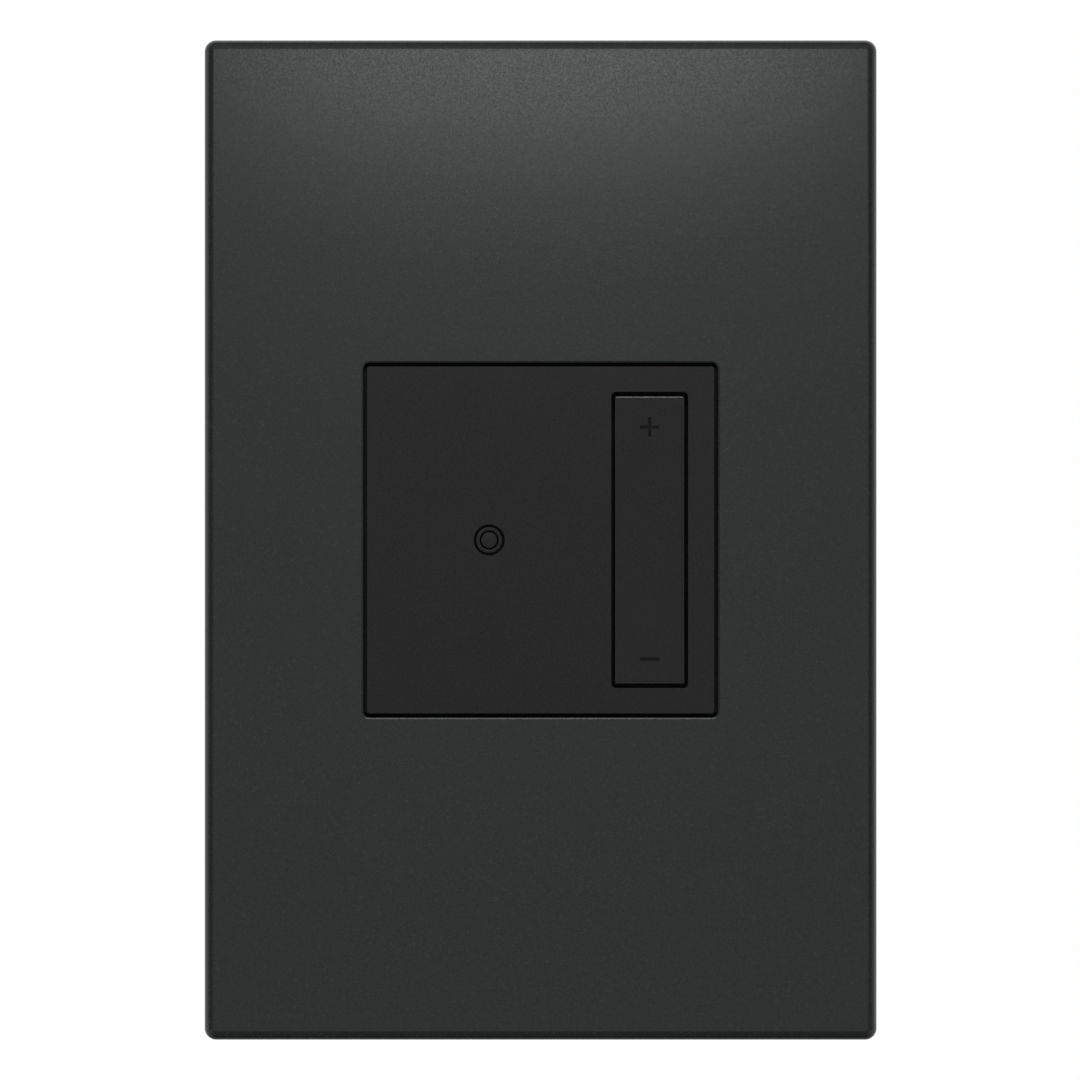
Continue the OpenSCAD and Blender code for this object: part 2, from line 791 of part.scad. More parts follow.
wall_plate();
mounting_frame();
box_screws();
front_carrier();
tap_face();
tap_hinge_pin();
dimmer_rocker();
rocker_pin();
indicator_ring();
indicator_lens();
tap_plunger();
tap_spring();
raise_plunger();
raise_spring();
lower_plunger();
lower_spring();
tap_switch();
raise_switch();
lower_switch();
control_board();
indicator_led();
microcontroller();
board_connector();
board_spacers();
power_board();
choke_core();
choke_winding();
filter_capacitor();
supply_capacitor();
triac();
triac_insulator();
triac_screw();
heat_sink();
fuse();
surge_varistor();
rear_housing();
housing_screws();
terminal_plates();
terminal_clamps();
terminal_screws();
ground_screw();
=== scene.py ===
"""The looks of the wall dimmer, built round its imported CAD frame. Lengths in the shape code are
in millimetres, in the frame's own axes, and become metres when a mesh is made."""

import json
import math

import bmesh
import bpy
from mathutils import Matrix, Vector
from mathutils.geometry import delaunay_2d_cdt


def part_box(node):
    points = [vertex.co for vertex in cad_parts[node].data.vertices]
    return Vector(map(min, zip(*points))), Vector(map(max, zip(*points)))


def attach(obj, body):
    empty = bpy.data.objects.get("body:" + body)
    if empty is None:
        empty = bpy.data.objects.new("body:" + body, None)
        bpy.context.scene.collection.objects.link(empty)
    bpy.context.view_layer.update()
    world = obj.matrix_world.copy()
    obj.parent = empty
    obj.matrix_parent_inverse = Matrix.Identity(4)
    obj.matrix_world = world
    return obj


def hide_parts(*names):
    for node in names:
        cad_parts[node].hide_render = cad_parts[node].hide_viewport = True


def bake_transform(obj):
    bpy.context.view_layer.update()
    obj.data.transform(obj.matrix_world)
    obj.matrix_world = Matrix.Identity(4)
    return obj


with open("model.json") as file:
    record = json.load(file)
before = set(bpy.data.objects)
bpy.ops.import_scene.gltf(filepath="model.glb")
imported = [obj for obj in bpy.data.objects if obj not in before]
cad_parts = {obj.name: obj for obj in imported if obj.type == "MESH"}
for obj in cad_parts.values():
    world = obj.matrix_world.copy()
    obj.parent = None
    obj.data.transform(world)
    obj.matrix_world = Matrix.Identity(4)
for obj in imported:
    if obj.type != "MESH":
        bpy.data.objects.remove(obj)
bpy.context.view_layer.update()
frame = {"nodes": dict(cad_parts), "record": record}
MM = 0.001

# ---- Sizes, taken from the frame ----


def span(node):
    """The lowest and highest corner of a CAD node, in millimetres."""
    lo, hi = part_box(node)
    return lo / MM, hi / MM


PLATE_LO, PLATE_HI = span("wall_plate")
BAR_LO, BAR_HI = span("dimmer_rocker")
LENS_LO, LENS_HI = span("indicator_lens")

FRONT_Y = PLATE_LO.y
PLATE_HW = PLATE_HI.x
PLATE_HH = PLATE_HI.z
FACE_HW = span("tap_face")[1].z
BAR_X = (BAR_LO.x + BAR_HI.x) / 2
BAR_HW = (BAR_HI.x - BAR_LO.x) / 2
BAR_HH = BAR_HI.z
LIGHT_X = (LENS_LO.x + LENS_HI.x) / 2

# Half the plate's opening, and the gaps at the rocker's sides and ends, which no box gives
OPENING_HW = 23.05
SLOT_GAP, SLOT_END_GAP = 0.45, 0.55

# ---- Shape tools ----


def within(point, outline):
    """True if a flat point is inside an outline."""
    inside = False
    for a, b in zip(outline, outline[1:] + outline[:1]):
        if (a.y > point.y) != (b.y > point.y):
            inside ^= point.x < a.x + (point.y - a.y) * (b.x - a.x) / (b.y - a.y)
    return inside


class Shell:
    """The points and faces of one closed surface."""

    def __init__(self):
        self.points = []
        self.faces = []

    def add(self, ring):
        """Adds a ring of points and returns their numbers."""
        start = len(self.points)
        self.points += [Vector(p) for p in ring]
        return list(range(start, len(self.points)))

    def bridge(self, a, b):
        """Joins two rings of equal length, given by their points' numbers."""
        for i in range(len(a)):
            j = (i + 1) % len(a)
            self.faces.append((a[i], a[j], b[j], b[i]))

    def skin(self, rings):
        """Joins rings of equal length one after another, and returns the first and the last."""
        numbered = [self.add(r) for r in rings]
        for a, b in zip(numbered, numbered[1:]):
            self.bridge(a, b)
        return numbered[0], numbered[-1]

    def fill(self, outer, holes=(), inner=(), plane="xz"):
        """Fills the flat or gently curved area inside one ring and outside others, as seen square
        to a plane."""
        loops = [outer, *holes]
        known = [i for ring in loops for i in ring] + list(inner)
        flat = [Vector([getattr(self.points[i], axis) for axis in plane]) for i in known]
        edges, outlines, at = [], [], 0
        for ring in loops:
            n = len(ring)
            edges += [(at + i, at + (i + 1) % n) for i in range(n)]
            outlines.append(flat[at : at + n])
            at += n
        places, _, triangles, sources, _, _ = delaunay_2d_cdt(flat, edges, [], 0, 1e-7)
        for triangle in triangles:
            middle = sum((places[i] for i in triangle), Vector((0, 0))) / 3
            if within(middle, outlines[0]) and not any(within(middle, o) for o in outlines[1:]):
                self.faces.append(tuple(known[sources[i][0]] for i in triangle))

    def mesh(self, name):
        """The surface as a Blender mesh in metres, with its normals outwards."""
        made = bpy.data.meshes.new(name)
        made.from_pydata([p * MM for p in self.points], [], self.faces)
        work = bmesh.new()
        work.from_mesh(made)
        bmesh.ops.remove_doubles(work, verts=work.verts, dist=1e-8)
        bmesh.ops.recalc_face_normals(work, faces=work.faces)
        work.to_mesh(made)
        work.free()
        return made


def box_ring(hw, hh, r, y, x=0.0, z=0.0, steps=6):
    """A rectangle with round corners, at one depth."""
    ring = []
    for turn, (sx, sz) in enumerate(((1, 1), (-1, 1), (-1, -1), (1, -1))):
        for i in range(steps + 1):
            a = math.radians(90 * turn + 90 * i / steps)
            ring.append(
                (x + sx * (hw - r) + r * math.cos(a), y, z + sz * (hh - r) + r * math.sin(a))
            )
    return ring


def round_ring(r, y, x=0.0, z=0.0, count=64):
    """A circle at one depth."""
    turns = [2 * math.pi * i / count for i in range(count)]
    return [(x + r * math.cos(a), y, z + r * math.sin(a)) for a in turns]


def eased(radius, steps, shoulder=0.0, tilt=15):
    """An edge in section, from the side wall to the front: pairs of (how far in, how far behind the
    front). It turns through a round, then runs up a shallow shoulder of a width and tilt."""
    turn = math.radians(90 - (tilt if shoulder else 0))
    angles = [turn * i / steps for i in range(steps + 1)]
    pairs = [(radius * (1 - math.cos(a)), radius * math.sin(a)) for a in angles]
    if shoulder:
        inset, forward = pairs[-1]
        pairs.append((inset + shoulder, forward + shoulder * math.tan(math.radians(tilt))))
    top = pairs[-1][1]
    return [(inset, top - forward) for inset, forward in pairs]


def outer_edge(hw, hh, r, front, section, x=0.0, z=0.0, corner=6):
    """Rings round an outside edge, from the side wall to the front face."""
    return [
        box_ring(hw - inset, hh - inset, max(r - inset, 0.04), front + drop, x, z, corner)
        for inset, drop in section
    ]


def hole_edge(hw, hh, r, front, section, x=0.0, z=0.0, corner=6):
    """Rings round the lip of a hole, from the front face down to its wall."""
    return [
        box_ring(hw + inset, hh + inset, r + inset, front + drop, x, z, corner)
        for inset, drop in reversed(section)
    ]


def lathe(profile, axis, at, count=64):
    """A closed turned solid. The profile is (radius, distance along the axis), and it starts and
    ends on the axis, or it is a closed ring that keeps off it."""
    shell = Shell()
    turns = [2 * math.pi * i / count for i in range(count)]
    closed_ring = profile[0][0] > 0
    u, v = {
        "x": (Vector((0, 1, 0)), Vector((0, 0, 1))),
        "y": (Vector((0, 0, 1)), Vector((1, 0, 0))),
        "z": (Vector((1, 0, 0)), Vector((0, 1, 0))),
    }[axis]
    w = u.cross(v)
    rows = []
    for r, along in profile:
        if r <= 0:
            rows.append(shell.add([Vector(at) + w * along]) * count)
        else:
            ring = [
                Vector(at) + w * along + u * (r * math.cos(a)) + v * (r * math.sin(a)) for a in turns
            ]
            rows.append(shell.add(ring))
    pairs = list(zip(rows, rows[1:]))
    if closed_ring:
        pairs.append((rows[-1], rows[0]))
    for a, b in pairs:
        for i in range(count):
            j = (i + 1) % count
            face = [a[i], a[j], b[j], b[i]]
            face = [p for k, p in enumerate(face) if p not in face[:k]]
            if len(face) > 2:
                shell.faces.append(tuple(face))
    return shell


def block(x, y, z, ease=0.15):
    """A box between two corners with a small chamfer, as a mesh."""
    work = bmesh.new()
    bmesh.ops.create_cube(work, size=1)
    size = Vector((x[1] - x[0], y[1] - y[0], z[1] - z[0]))
    middle = Vector((x[0] + x[1], y[0] + y[1], z[0] + z[1])) / 2
    for vertex in work.verts:
        vertex.co = (Vector([a * b for a, b in zip(vertex.co, size)]) + middle) * MM
    if ease:
        bmesh.ops.bevel(
            work, geom=work.edges[:], offset=ease * MM, segments=2, profile=0.5, affect="EDGES"
        )
    made = bpy.data.meshes.new("block")
    work.to_mesh(made)
    work.free()
    return made


def add_object(name, mesh):
    """A new object in the scene, with a mesh."""
    piece = bpy.data.objects.new(name, mesh)
    bpy.context.scene.collection.objects.link(piece)
    return piece


def settle(piece):
    """Replaces a piece's mesh with the result of its modifiers."""
    graph = bpy.context.evaluated_depsgraph_get()
    piece.data = bpy.data.meshes.new_from_object(piece.evaluated_get(graph), depsgraph=graph)
    piece.modifiers.clear()


def combine(piece, mesh, operation):
    """Adds a mesh to a piece or cuts it away, with a Boolean."""
    other = add_object("tool", mesh)
    step = piece.modifiers.new("combine", "BOOLEAN")
    step.operation = operation
    step.object = other
    step.solver = "EXACT"
    settle(piece)
    bpy.data.objects.remove(other)


def join(meshes, name):
    """Several meshes as one."""
    work = bmesh.new()
    for mesh in meshes:
        work.from_mesh(mesh)
    made = bpy.data.meshes.new(name)
    work.to_mesh(made)
    work.free()
    return made


def flatten_shading(piece):
    """Lets large flat faces set the normals that they share with small ones."""
    weigh = piece.modifiers.new("flat_faces_first", "WEIGHTED_NORMAL")
    weigh.mode = "FACE_AREA"
    weigh.weight = 100
    weigh.keep_sharp = True


SMOOTH_UNDER = math.radians(32)


def smooth(piece):
    """Shades round surfaces smoothly and keeps flat ones flat."""
    piece.data.shade_smooth()
    piece.data.set_sharp_from_angle(angle=SMOOTH_UNDER)
    flatten_shading(piece)


def finish_piece(piece, body, finish, node):
    """Smooths a piece, gives it its finish and puts it on its body in place of its CAD node."""
    smooth(piece)
    piece.data.materials.clear()
    piece.data.materials.append(FINISHES[finish])
    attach(piece, body)
    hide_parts(node)


def finish_faces(piece, material, chosen):
    """Gives the faces that a test picks out a finish of their own, and returns them."""
    piece.data.materials.append(material)
    faces = [face for face in piece.data.polygons if chosen(face, face.center / MM)]
    for face in faces:
        face.material_index = len(piece.data.materials) - 1
    return faces


def polish_shoulders(piece, slope, reach, material):
    """Gives the shallow shoulders round an opening or a bar their smoother finish, and sharp rims.
    slope is the range of tilts from the front in degrees, and reach how far out they lie."""
    low, high = (math.cos(math.radians(a)) for a in slope)
    depth = 0.5

    def on_shoulder(face, middle):
        near_front = max(abs(middle.x), abs(middle.z)) < reach and middle.y < FRONT_Y + depth
        return near_front and high < -face.normal.y < low

    rims = {}
    for face in finish_faces(piece, material, on_shoulder):
        for key in face.edge_keys:
            rims[key] = rims.get(key, 0) + 1
    for edge in piece.data.edges:
        if rims.get(edge.key) == 1:
            edge.use_edge_sharp = True


# ---- Materials ----


def linear(level):
    """An sRGB level from 0 to 255 as a linear value."""
    v = level / 255
    return v / 12.92 if v <= 0.04045 else ((v + 0.055) / 1.055) ** 2.4


def grey(level, tint=(1.0, 1.0, 1.0)):
    """A grey from its sRGB level, with a tint, as a linear colour."""
    return tuple(linear(level) * t for t in tint) + (1.0,)


class Finish:
    """A material with a Principled shader, and shorthand for its nodes."""

    def __init__(self, name, colour, roughness, metallic=0.0, specular=0.5):
        self.material = bpy.data.materials.new(name)
        self.material.use_nodes = True
        self.nodes = self.material.node_tree.nodes
        self.links = self.material.node_tree.links
        self.shader = self.nodes["Principled BSDF"]
        self.shader.inputs["Base Color"].default_value = colour
        self.shader.inputs["Roughness"].default_value = roughness
        self.shader.inputs["Metallic"].default_value = metallic
        self.shader.inputs["Specular IOR Level"].default_value = specular
        self.colour = colour
        self.place = self.nodes.new("ShaderNodeTexCoord").outputs["Object"]
        self.height = None

    def set(self, **values):
        """Sets sockets of the shader by their names."""
        for name, value in values.items():
            self.shader.inputs[name.replace("_", " ")].default_value = value
        return self

    def stretched(self, scale):
        """The object's own coordinates, scaled by axis."""
        node = self.nodes.new("ShaderNodeMapping")
        node.inputs["Scale"].default_value = scale
        self.links.new(self.place, node.inputs["Vector"])
        return node.outputs["Vector"]

    def noise(self, size_mm, detail=2.0, rough=0.5, scale=(1, 1, 1)):
        """Cloudy noise with grains of about a size."""
        node = self.nodes.new("ShaderNodeTexNoise")
        node.inputs["Scale"].default_value = 1 / (size_mm * MM)
        node.inputs["Detail"].default_value = detail
        node.inputs["Roughness"].default_value = rough
        self.links.new(self.stretched(scale), node.inputs["Vector"])
        return node.outputs["Fac"]

    def cells(self, size_mm):
        """Cells of about a size, each of a random colour."""
        node = self.nodes.new("ShaderNodeTexVoronoi")
        node.inputs["Scale"].default_value = 1 / (size_mm * MM)
        self.links.new(self.place, node.inputs["Vector"])
        return node.outputs["Color"]

    def ranged(self, value, low, high, to_low, to_high):
        """Stretches one range of a value to another."""
        node = self.nodes.new("ShaderNodeMapRange")
        ends = {"From Min": low, "From Max": high, "To Min": to_low, "To Max": to_high}
        for name, number in ends.items():
            node.inputs[name].default_value = number
        self.links.new(value, node.inputs["Value"])
        return node.outputs["Result"]

    def vary_colour(self, fac, other):
        """Mixes the colour towards another one by a factor."""
        node = self.nodes.new("ShaderNodeMix")
        node.data_type = "RGBA"
        self.links.new(fac, node.inputs["Factor"])
        source = self.shader.inputs["Base Color"]
        if source.is_linked:
            self.links.new(source.links[0].from_socket, node.inputs["A"])
        else:
            node.inputs["A"].default_value = self.colour
        node.inputs["B"].default_value = other
        self.links.new(node.outputs["Result"], source)
        return self

    def vary_roughness(self, fac, low, high):
        """Lets the roughness run between two values with a factor of 0 to 1."""
        self.links.new(self.ranged(fac, 0, 1, low, high), self.shader.inputs["Roughness"])
        return self

    def bump(self, height, depth_mm):
        """Raises and lowers the surface by a depth."""
        node = self.nodes.new("ShaderNodeBump")
        node.inputs["Strength"].default_value = 1
        node.inputs["Distance"].default_value = depth_mm * MM
        self.links.new(height, node.inputs["Height"])
        if self.height is not None:
            self.links.new(self.height, node.inputs["Normal"])
        self.height = node.outputs["Normal"]
        self.links.new(self.height, self.shader.inputs["Normal"])
        return self


def plastic(name, level, roughness, grain_mm=0.12, depth_mm=0.004, tint=(1, 1, 1), lift=1.25):
    """A moulded plastic with a fine spark-eroded grain."""
    f = Finish(name, grey(level, tint), roughness)
    grain = f.noise(grain_mm, 3.0, 0.6)
    cloud = f.noise(6.0, 2.0, 0.5)
    f.vary_colour(f.ranged(cloud, 0.35, 0.65, 0, 0.12), grey(level * lift, tint))
    f.vary_colour(f.ranged(grain, 0.45, 0.7, 0, 0.4), grey(level * lift, tint))
    f.vary_roughness(grain, roughness - 0.05, roughness + 0.07)
    f.bump(grain, depth_mm)
    return f.material


def metal(name, colour, roughness, brush=(1, 1, 1), depth_mm=0.002, dull=0.75):
    """A metal with fine lines or mottling, and darker patches."""
    f = Finish(name, (*colour, 1), roughness, metallic=1.0)
    lines = f.noise(0.3, 4.0, 0.6, brush)
    patches = f.noise(3.0, 3.0, 0.55)
    darker = (*[c * dull for c in colour], 1)
    f.vary_colour(f.ranged(patches, 0.4, 0.7, 0, 0.7), darker)
    f.vary_roughness(lines, roughness - 0.06, roughness + 0.12)
    f.bump(lines, depth_mm)
    return f.material


def graphite_finish(name="graphite_finish", shine=0.0):
    """Satin graphite lacquer with a fine flake in it. shine takes some of the roughness away."""
    f = Finish(name, grey(51, (0.88, 1.06, 0.99)), 0.24, specular=0.5)
    flake = f.cells(0.2)
    split = f.nodes.new("ShaderNodeSeparateColor")
    f.links.new(flake, split.inputs["Color"])
    bright = f.ranged(split.outputs["Red"], 0.8, 1.0, 0.0, 0.3)
    f.vary_colour(bright, grey(92, (0.9, 1.05, 0.99)))
    cloud = f.noise(9.0, 2.0, 0.5)
    f.vary_colour(f.ranged(cloud, 0.4, 0.6, 0.0, 0.12), grey(44))
    f.vary_roughness(split.outputs["Green"], 0.2 - shine, 0.28 - shine)
    f.bump(split.outputs["Blue"], 0.004)
    f.bump(f.noise(0.3, 2.0, 0.5), 0.0014)
    return f.material


def face_moulding(name="face_moulding", shine=0.0, specular=0.28):
    """The finer, more matt finish of the tap face, the rocker and the light between them."""
    f = Finish(name, grey(43), 0.3, specular=specular)
    grain = f.noise(0.15, 3.0, 0.6)
    f.vary_colour(f.ranged(grain, 0.4, 0.7, 0, 0.6), grey(66))
    cloud = f.noise(7.0, 2.0, 0.5)
    f.vary_colour(f.ranged(cloud, 0.4, 0.65, 0, 0.15), grey(38))
    f.vary_roughness(grain, 0.27 - shine, 0.33 - shine)
    f.bump(grain, 0.003)
    return f.material


def mark_floor():
    """The rough floor of the engraved marks."""
    f = Finish("mark_floor", grey(54), 0.8, specular=0.2)
    grain = f.noise(0.08, 3.0, 0.6)
    f.vary_colour(grain, grey(44))
    f.vary_roughness(grain, 0.7, 0.95)
    f.bump(grain, 0.006)
    return f.material


FINISHES = {
    "graphite_finish": graphite_finish(),
    "face_moulding": face_moulding(),
    "light_ring": face_moulding("light_ring"),
    "light_lens": face_moulding("light_lens"),
    "frame_moulding": plastic("frame_moulding", 84, 0.5, 0.2, 0.006),
    "carrier_moulding": plastic("carrier_moulding", 26, 0.5, 0.15, 0.005),
    "housing_moulding": plastic("housing_moulding", 36, 0.46, 0.22, 0.008),
    "switch_moulding": plastic("switch_moulding", 34, 0.4, 0.1, 0.003),
    "package_epoxy": plastic("package_epoxy", 34, 0.55, 0.08, 0.004),
    "white_acetal": plastic("white_acetal", 232, 0.35, 0.15, 0.002, (1, 0.99, 0.95), 1.02),
    "board_laminate": plastic("board_laminate", 80, 0.3, 0.5, 0.003, (0.25, 1.3, 0.6)),
    "led_epoxy": plastic("led_epoxy", 236, 0.18, 0.1, 0.001, (1, 1, 0.95), 1.01),
    "ferrite": plastic("ferrite", 110, 0.5, 0.12, 0.006, (1.0, 1.05, 0.7)),
    "capacitor_case": plastic("capacitor_case", 178, 0.32, 0.2, 0.002, (1.3, 0.95, 0.2), 1.1),
    "capacitor_sleeve": plastic("capacitor_sleeve", 86, 0.25, 0.4, 0.002, (0.4, 0.9, 2.0)),
    "insulator_film": plastic("insulator_film", 196, 0.22, 0.4, 0.001, (1.35, 0.95, 0.35), 1.05),
    "fuse_ceramic": plastic("fuse_ceramic", 220, 0.5, 0.12, 0.003, (1.0, 0.97, 0.9), 1.03),
    "varistor_lacquer": plastic("varistor_lacquer", 104, 0.2, 0.6, 0.006, (0.35, 0.9, 2.2)),
    "zinc_steel": metal("zinc_steel", (0.66, 0.67, 0.70), 0.26),
    "pin_steel": metal("pin_steel", (0.6, 0.6, 0.62), 0.22, (0.05, 1, 1)),
    "spring_steel": metal("spring_steel", (0.45, 0.46, 0.48), 0.3),
    "copper_enamel": metal("copper_enamel", (0.72, 0.3, 0.13), 0.24),
    "sink_aluminium": metal("sink_aluminium", (0.74, 0.75, 0.77), 0.32, (1, 1, 0.04)),
    "terminal_brass": metal("terminal_brass", (0.78, 0.57, 0.26), 0.24),
    "ground_green": metal("ground_green", (0.08, 0.4, 0.16), 0.3),
}

# ---- Wall plate ----


def make_wall_plate():
    """A hollow shell, as one skin that runs from the rim over the front and back to the rim."""
    edge_r, corner_r, side_t, front_t, rim_ease = 1.3, 1.5, 2.0, 2.2, 0.25
    lip, lip_corner_r = eased(0.2, 5, 0.11, 15), 0.75
    collar_t, collar_back, collar_ease, collar_corner_r = 1.2, -5.6, 0.15, 1.6
    cavity_ease, cavity_corner_r = 0.4, 0.8
    corner = 10
    inner_front = FRONT_Y + front_t
    collar_hw = OPENING_HW + collar_t
    cavity_hw, cavity_hh = PLATE_HW - side_t, PLATE_HH - side_t

    def plate_ring(inset, r, y):
        return box_ring(PLATE_HW - inset, PLATE_HH - inset, r, y, steps=corner)

    def square_ring(hw, r, y):
        return box_ring(hw, hw, r, y, steps=corner)

    def cavity_ring(inset, r, y):
        return box_ring(cavity_hw - inset, cavity_hh - inset, r, y, steps=corner)

    rings = [plate_ring(rim_ease, corner_r - rim_ease, 0), plate_ring(0, corner_r, -rim_ease)]
    rings += outer_edge(PLATE_HW, PLATE_HH, corner_r, FRONT_Y, eased(edge_r, 12), corner=corner)
    rings += hole_edge(OPENING_HW, OPENING_HW, lip_corner_r, FRONT_Y, lip, corner=corner)
    rings += [
        square_ring(OPENING_HW, lip_corner_r, collar_back + collar_ease),
        square_ring(OPENING_HW + collar_ease, 0.8, collar_back),
        square_ring(collar_hw - collar_ease, 1.5, collar_back),
        square_ring(collar_hw, collar_corner_r, collar_back - collar_ease),
        square_ring(collar_hw, collar_corner_r, inner_front),
        cavity_ring(cavity_ease, 0.6, inner_front),
        cavity_ring(0.12, 0.75, inner_front + 0.12),
        cavity_ring(0, cavity_corner_r, inner_front + cavity_ease),
        cavity_ring(0, cavity_corner_r, -rim_ease),
        cavity_ring(-rim_ease, 1.0, 0),
    ]
    shell = Shell()
    first, last = shell.skin(rings)
    shell.bridge(last, first)
    piece = add_object("wall_plate_shell", shell.mesh("wall_plate_shell"))
    # The pry slot in the lower edge, and the hooks that catch the frame
    pry_slot = block((-5, 5), (-2, 1), (-PLATE_HH - 1, -cavity_hh + 1), 0.2)
    combine(piece, pry_slot, "DIFFERENCE")
    hook_x, hook_hw, hook_ease = 25, 5, 0.12
    stem_z, barb_z = (61.3, 62.5), (60.35, 61.5)
    for sx in (-1, 1):
        for sz in (-1, 1):
            x = (sx * hook_x - hook_hw, sx * hook_x + hook_hw)
            stem, barb = (sorted(sz * z for z in ends) for ends in (stem_z, barb_z))
            combine(piece, block(x, (inner_front - 0.3, -1.0), stem, hook_ease), "UNION")
            combine(piece, block(x, (-2.7, -1.2), barb, hook_ease), "UNION")
    finish_piece(piece, "device", "graphite_finish", "wall_plate")
    polish_shoulders(piece, (8, 22), OPENING_HW + 1, graphite_finish("graphite_polished", 0.09))


# ---- Tap face ----

# Heights of the tap face's foot and of the rocker's upper foot, from the middle
TAP_FOOT_Z, ROCKER_FOOT_Z = -14, 13


def knuckle(x, axis_y, axis_z, r, bore_r, root_y):
    """A hinge knuckle: a block with a round end and a bore through it along X."""
    shell = Shell()
    end_steps, bore_steps = 24, 40
    half_turn = [math.pi * i / end_steps for i in range(end_steps + 1)]
    whole_turn = [2 * math.pi * i / bore_steps for i in range(bore_steps)]
    outline = [(root_y, axis_z + r)]
    outline += [(axis_y + r * math.sin(a), axis_z + r * math.cos(a)) for a in half_turn]
    outline += [(root_y, axis_z - r)]
    bore = [(axis_y + bore_r * math.cos(a), axis_z + bore_r * math.sin(a)) for a in whole_turn]
    ends = []
    for side in x:
        a = shell.add([(side, y, z) for y, z in outline])
        b = shell.add([(side, y, z) for y, z in bore])
        ends.append((a, b))
        shell.fill(a, [b], plane="yz")
    for near, far in zip(*ends):
        shell.bridge(near, far)
    return shell.mesh("knuckle")


def add_foot(piece, x, z, from_y):
    """A foot that presses a plunger, with a round tip just proud of its stem."""
    end_y, stem_hw, stem_hh = -4.9, 1.5, 0.97
    tip_r, tip_hw, tip_ease = 1.0, 1.47, 0.1
    stem = block((x - stem_hw, x + stem_hw), (from_y, end_y), (z - stem_hh, z + stem_hh), 0.1)
    combine(piece, stem, "UNION")
    half = [(0, tip_hw), (tip_r - tip_ease, tip_hw), (tip_r, tip_hw - tip_ease)]
    tip = [(r, -along) for r, along in half] + half[::-1]
    combine(piece, lathe(tip, "x", (x, end_y, z), 32).mesh("tip"), "UNION")


def make_tap_face():
    """A plate with a skirt behind it, a slot for the rocker, a hole for the light, and behind it
    knuckles, side flanges, ribs and a foot."""
    lip = eased(0.07, 4)
    back_y, skirt_y, skirt_t, skirt_ease = FRONT_Y + 1.8, -4.6, 1.2, 0.1
    slot_hw, slot_hh, slot_r = BAR_HW + SLOT_GAP, BAR_HH + SLOT_END_GAP, 0.55
    collar_y, collar_t, hole_r = -5.8, 1, 2.01
    root_y = back_y - 0.2
    inner_hw = FACE_HW - skirt_t
    shell = Shell()
    outer_rings = outer_edge(FACE_HW, FACE_HW, 0.3, FRONT_Y, lip)[::-1]
    outer_rings += [
        box_ring(FACE_HW, FACE_HW, 0.3, skirt_y - skirt_ease),
        box_ring(FACE_HW - skirt_ease, FACE_HW - skirt_ease, 0.25, skirt_y),
        box_ring(inner_hw + skirt_ease, inner_hw + skirt_ease, 0.35, skirt_y),
        box_ring(inner_hw, inner_hw, 0.3, skirt_y - skirt_ease),
        box_ring(inner_hw, inner_hw, 0.3, back_y),
    ]
    front_outer, back_outer = shell.skin(outer_rings)
    slot_rings = hole_edge(slot_hw, slot_hh, slot_r, FRONT_Y, lip, BAR_X)
    slot_rings += [
        box_ring(slot_hw, slot_hh, slot_r, collar_y, BAR_X),
        box_ring(slot_hw + collar_t, slot_hh + collar_t, 1.0, collar_y, BAR_X),
        box_ring(slot_hw + collar_t, slot_hh + collar_t, 1.0, back_y, BAR_X),
    ]
    front_slot, back_slot = shell.skin(slot_rings)
    hole_rings = [
        round_ring(hole_r + inset, FRONT_Y + drop, LIGHT_X) for inset, drop in reversed(lip)
    ]
    hole_rings.append(round_ring(hole_r, back_y, LIGHT_X))
    front_hole, back_hole = shell.skin(hole_rings)
    shell.fill(front_outer, [front_slot, front_hole])
    shell.fill(back_outer, [back_slot, back_hole])
    piece = add_object("tap_face_plate", shell.mesh("tap_face_plate"))
    for x in ((-16, -13), (-1, 2)):
        hinge = knuckle(x, axis_y=-5.2, axis_z=19.0, r=1.4, bore_r=0.85, root_y=root_y)
        combine(piece, hinge, "UNION")
    flange_in, flange_out, flange_y = 22.0, 23.2, (-5.3, skirt_y)
    for side in ((flange_in, flange_out), (-flange_out, -flange_in)):
        combine(piece, block(side, flange_y, (-FACE_HW, FACE_HW), 0.08), "UNION")
    rib_y, rib_hw, rib_ease = (root_y, -6.1), 0.5, 0.1
    across_x, upright_z = (-21.55, 7.6), (-21.6, 16)
    for z in (-18, -7, 7):
        rib = block(across_x, rib_y, (z - rib_hw, z + rib_hw), rib_ease)
        combine(piece, rib, "UNION")
    for x in (-14.5, 1):
        rib = block((x - rib_hw, x + rib_hw), rib_y, upright_z, rib_ease)
        combine(piece, rib, "UNION")
    add_foot(piece, LIGHT_X, TAP_FOOT_Z, root_y)
    finish_piece(piece, "tap", "face_moulding", "tap_face")


# ---- Rocker ----

PLUS_Z, MINUS_Z, MARK_LEN, MARK_W, MARK_DEEP = 14.7, -15.5, 2.5, 0.4, 0.22


def plus_outline(x, z, length, width):
    """The twelve corners of a plus, going round."""
    a, b = length / 2, width / 2
    turns = [(a, -b), (a, b), (b, b), (b, a), (-b, a), (-b, b)]
    turns += [(-a, b), (-a, -b), (-b, -b), (-b, -a), (b, -a), (b, -b)]
    return [(x + p, z + q) for p, q in turns]


def minus_outline(x, z, length, width):
    """The four corners of a minus, going round."""
    a, b = length / 2, width / 2
    return [(x + a, z - b), (x + a, z + b), (x - a, z + b), (x - a, z - b)]


